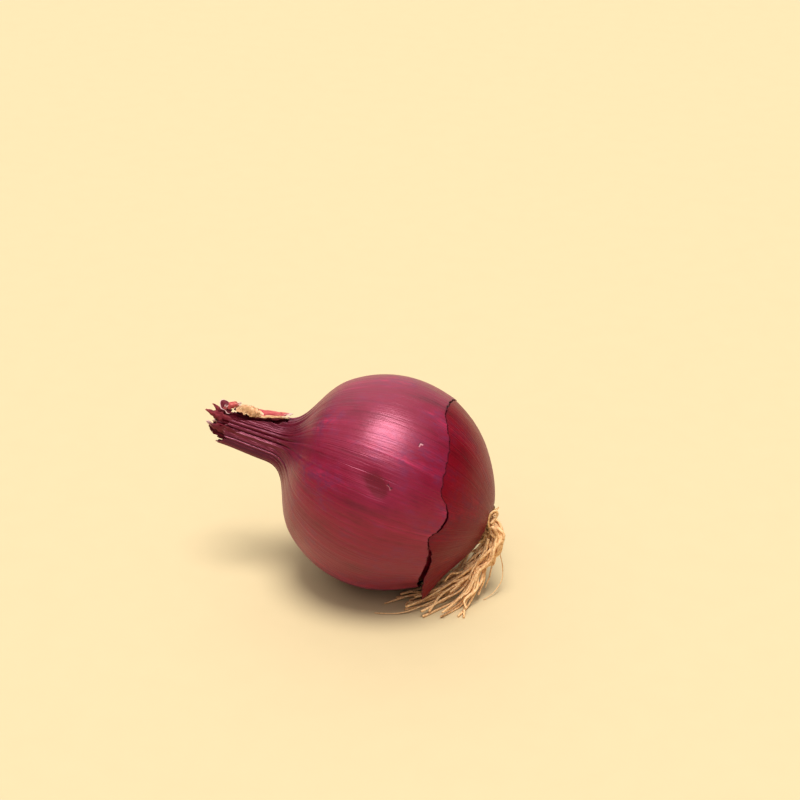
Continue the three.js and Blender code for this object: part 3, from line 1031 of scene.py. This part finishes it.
def kinked(path, wander, random):
    """The path with sideways kinks every few mm, kept off the bulb and the surface."""
    count = len(path)
    knots = max(3, count // 7)
    offsets = random.normal(0, wander, (knots, 3))
    offsets[0] = 0
    path = path + smooth_path(offsets, count)
    centre = np.array(bulb_centre) / MM
    away = path - centre
    distance = np.linalg.norm(away, axis=1)[:, None]
    clear = bulb_radius + CLEAR_OF_BULB
    path = np.where(distance < clear, centre + away / distance * clear, path)
    path[:, 2] = np.maximum(path[:, 2], CLEAR_OF_SURFACE)
    return path


def new_strands(name, roundness):
    """A bundle for strands, which are round threads."""
    strands = bpy.data.curves.new(name, "CURVE")
    strands.dimensions = "3D"
    strands.bevel_depth = 1
    strands.bevel_resolution = roundness
    strands.use_fill_caps = True
    return strands


def add_strand(strands, path, thick, thin, random):
    """A tapering, knobbly thread along the path, with its radius at each end, all in mm."""
    thread = strands.splines.new("POLY")
    thread.points.add(len(path) - 1)
    share = np.linspace(0, 1, len(path))
    knobs = 1 + 0.16 * ripple(share * len(path) / 12, 3, 7, int(random.integers(1000)))
    radius = (thick + (thin - thick) * share**1.6) * knobs
    for point, place, size in zip(thread.points, path, radius):
        point.co = (*(place * MM), 1)
        point.radius = size * MM


def strands_as_mesh(name, strands):
    """The bundle of strands as one mesh in the root finish."""
    bundle = bpy.data.objects.new(name, strands)
    bpy.context.collection.objects.link(bundle)
    deselect_all()
    bundle.select_set(True)
    bpy.context.view_layer.objects.active = bundle
    bpy.ops.object.convert(target="MESH")
    bpy.ops.object.shade_smooth()
    bundle = bpy.context.object
    bundle.data.materials.append(dry_root)
    return bundle


# Strands that go their own way, under the number of the root that they belong to: their points in
# mm in the part's frame, and their radius at each end. The first is the loop at the top.
LOOSE_ROOTS = {
    21: [
        ([(38.0, -5.6, 24.6), (37.4, -6.4, 28.4), (38.0, -6.2, 31.6), (39.4, -5.6, 32.6),
          (40.4, -5.2, 31.2), (39.6, -5.6, 29.0), (38.4, -6.6, 27.8)], 0.42, 0.36),
        ([(40.4, -3.5, 19.0), (41.4, -4.0, 14.0), (42.6, -3.6, 9.0), (42.6, -5.0, 4.5),
          (40.4, -9.0, 1.4), (37.0, -12.5, 0.5)], 0.2, 0.1),
        ([(39.4, -4.6, 14.0), (38.8, -5.8, 9.5), (38.2, -7.0, 5.6), (37.4, -8.6, 3.0)], 0.3, 0.2),
    ],
    20: [([(37.6, -7.2, 16.0), (37.0, -9.4, 10.0), (36.6, -10.6, 5.5), (35.4, -13.0, 2.6)],
          0.42, 0.4)],
    1: [
        ([(30.6, -10.8, 10.0), (27.8, -12.8, 10.4), (25.8, -14.4, 10.6), (24.4, -15.4, 8.4)],
         0.36, 0.26),
        ([(37.6, -6.6, 21.5), (36.4, -8.4, 15.4), (32.4, -10.6, 11.6), (28.4, -12.8, 8.8),
          (24.4, -15.6, 6.6), (20.6, -17.6, 5.4)], 0.5, 0.4),
    ],
    2: [([(37.2, -5.4, 20.0), (35.4, -7.6, 14.6), (31.2, -9.8, 11.0), (27.2, -12.0, 8.0),
          (23.0, -15.0, 6.0), (17.6, -18.6, 4.2), (14.6, -19.6, 3.4)], 0.5, 0.4)],
    3: [([(37.0, -7.4, 17.6), (34.2, -9.6, 13.4), (30.2, -12.2, 10.4), (26.4, -14.6, 7.6),
          (21.8, -17.6, 5.2), (18.4, -20.2, 3.6)], 0.46, 0.36)],
    4: [([(20.4, -13.6, 3.2), (15.0, -16.0, 2.2), (9.8, -17.4, 1.2), (4.0, -21.4, 0.5)], 0.4, 0.3)],
    10: [([(22.4, -19.0, 3.0), (15.6, -23.6, 1.4), (9.6, -26.6, 0.6), (1.6, -27.8, 0.5)], 0.24, 0.1)],
}


# Radii in mm at a root's start and end, and how far its kinks go.
ROOT_STARTS = (0.5, 0.66)
ROOT_TIP = 0.36
ROOT_KINKS = 0.7
ROOT_POINTS = 64
SIDE_START = 0.42
SIDE_TIP = 0.26
SIDE_KINKS = 0.5
LOOSE_KINKS = 0.12
LOOSE_POINTS = 48


def make_root(number, lane, layer):
    """A main root with its side roots, and the loose ones that belong to it."""
    random = np.random.default_rng(300 + number)
    strands = new_strands(f"dry_root_{number:02d}", 2)
    path = kinked(smooth_path(root_route(lane, layer), ROOT_POINTS), ROOT_KINKS, random)
    add_strand(strands, path, random.uniform(*ROOT_STARTS), ROOT_TIP, random)

    # A side root runs along a stretch of the main one's path, turned aside a little.
    for _ in range(1 + number % 2):
        leaves_at = int(random.uniform(6, 42))
        reach = int(random.uniform(12, 26))
        side = path[leaves_at : leaves_at + reach] - path[leaves_at]
        turned = side @ np.array(Matrix.Rotation(random.normal(-0.1, 0.3), 3, "Z")).T
        side_path = path[leaves_at] + turned * random.uniform(0.9, 1.15)
        add_strand(strands, kinked(side_path, SIDE_KINKS, random), SIDE_START, SIDE_TIP, random)

    for points, thick, thin in LOOSE_ROOTS.get(number, ()):
        loose_path = kinked(smooth_path(points, LOOSE_POINTS), LOOSE_KINKS, random)
        add_strand(strands, loose_path, thick, thin, random)
    root = strands_as_mesh(f"dry_root_{number:02d}", strands)
    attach(root, "root")
    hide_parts(f"root_{number:02d}")


for lane in range(LANES):
    for layer in range(LAYERS):
        make_root(lane * LAYERS + layer + 1, lane, layer)


STUBS = 60
STUBS_REACH = 5.6  # mm from the plate's middle
STUB_FOOT = 1.0  # mm under the plate's face


def make_root_stubs():
    """The short stubs all over the plate, where other roots have broken off."""
    random = np.random.default_rng(350)
    strands = new_strands("broken_root_stubs", 1)
    for number in range(STUBS):
        out = STUBS_REACH * math.sqrt((number + 0.5) / STUBS)
        turn = number * GOLDEN_ANGLE
        foot = np.array((out * math.sin(turn), -PLATE_FACE + STUB_FOOT, out * math.cos(turn)))
        lean = random.normal(0, 0.5, 3) + foot * (0.16, 0, 0.16)
        lean[1] = -random.uniform(1.2, 2.6)
        points = np.array([foot, foot + (0, -0.9, 0), foot + lean * 0.6 + (0, -0.6, 0), foot + lean])
        path = in_place(*smooth_path(points, 8).T) / MM
        add_strand(strands, path, random.uniform(0.28, 0.44), 0.24, random)
    stubs = strands_as_mesh("broken_root_stubs", strands)
    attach(stubs, "root")


make_root_stubs()


# ---------------------------------------------------------------
# The setting: a plain cream floor, four soft lights, and a camera that looks down on the onion
# from the front. None of it belongs to the object.
# ---------------------------------------------------------------


def floor_finish():
    """Plain matt cream, a little uneven."""
    material, shade, shader = new_finish("cream_floor", roughness=0.9, specular_ior_level=0.1)
    place = shade.node("ShaderNodeTexCoord", output="Object")
    speckle = place.vector("MULTIPLY", (90.0, 90.0, 90.0)).noise(2.0)
    body = speckle.mix((0.57, 0.455, 0.262, 1), (0.59, 0.47, 0.272, 1))
    feed(shade, shader, base_color=body)
    return material


deselect_all()
bpy.ops.mesh.primitive_plane_add(size=8)
floor = bpy.context.object
floor.name = "floor"
floor.data.materials.append(floor_finish())

# The lights: turns about X, Y and Z in degrees, strength, spread in degrees, and colour.
LIGHTS = [
    ((7, 3, 0), 3.5, 30, (1, 0.98, 0.97)),  # the main one, overhead
    ((-6, -8, 0), 1.3, 100, (1, 1, 1)),  # a wide one overhead
    ((-64, 0, 14), 0.55, 70, (1, 1, 1)),  # a low one from behind
    ((66, 0, 11), 0.5, 80, (1, 0.94, 1)),  # a low one from the front
]
for turns, strength, spread, tint in LIGHTS:
    bpy.ops.object.light_add(type="SUN", rotation=[math.radians(turn) for turn in turns])
    light = bpy.context.object.data
    light.energy = strength
    light.angle = math.radians(spread)
    light.color = tint

world = bpy.data.worlds.new("studio")
bpy.context.scene.world = world
world.use_nodes = True
world.node_tree.nodes["Background"].inputs["Color"].default_value = (1, 0.96, 0.92, 1)
world.node_tree.nodes["Background"].inputs["Strength"].default_value = 0.18

VIEW_DISTANCE = 0.65  # metres from the bulb's middle to the camera
VIEW_AZIMUTH, VIEW_ELEVATION = math.radians(11.4), math.radians(30)
AIM_AZIMUTH, AIM_ELEVATION = math.radians(10.87), math.radians(27.49)


def towards_camera(azimuth, elevation):
    """The way from the onion to a camera at these angles, one long."""
    level = math.cos(elevation)
    return Vector((math.sin(azimuth) * level, -math.cos(azimuth) * level, math.sin(elevation)))


camera_place = bulb_centre + towards_camera(VIEW_AZIMUTH, VIEW_ELEVATION) * VIEW_DISTANCE
camera_turn = towards_camera(AIM_AZIMUTH, AIM_ELEVATION).to_track_quat("Z", "Y").to_euler()
bpy.ops.object.camera_add(location=camera_place, rotation=camera_turn)
camera = bpy.context.object
camera.data.lens = 84
camera.data.sensor_width = 36
camera.data.clip_end = 20
bpy.context.scene.camera = camera

bpy.context.scene.view_settings.view_transform = "Standard"
